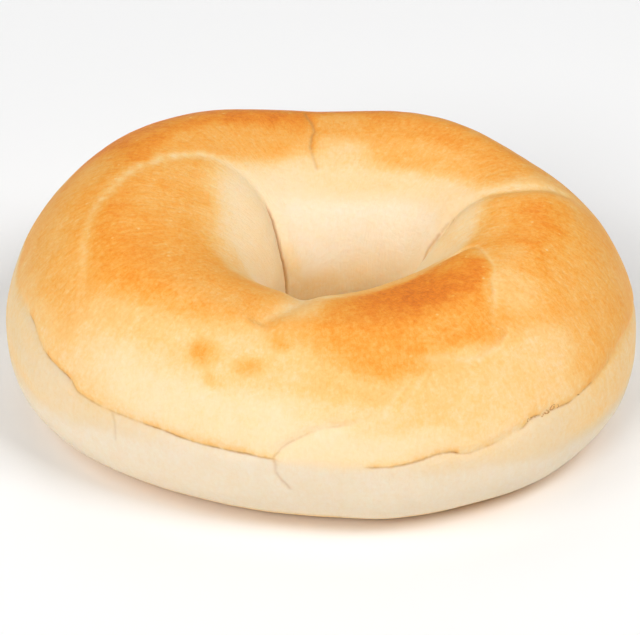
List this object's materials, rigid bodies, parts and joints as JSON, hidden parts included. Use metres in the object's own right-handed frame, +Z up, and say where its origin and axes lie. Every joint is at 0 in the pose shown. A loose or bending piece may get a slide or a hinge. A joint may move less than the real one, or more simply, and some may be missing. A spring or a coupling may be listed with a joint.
{
  "type": "bagel",
  "caption": "Plain baked bagel: one solid ring of bread with a domed golden top, folded seams, an oval hole and a flat base.",
  "frame": {"origin": "middle of the bagel's outline seen from above, on the surface that its flat base rests on", "axes": "+Z up out of the domed top, +X along the longest way across, -Y towards the front"},
  "size_m": [0.1114, 0.1014, 0.0387],
  "materials": {
    "crust": "baked bread crust, golden brown on top and pale cream at the side, in the hole and in the seams, satin"
  },
  "bodies": {
    "root": {"bagel": "crust"}
  },
  "joints": []
}
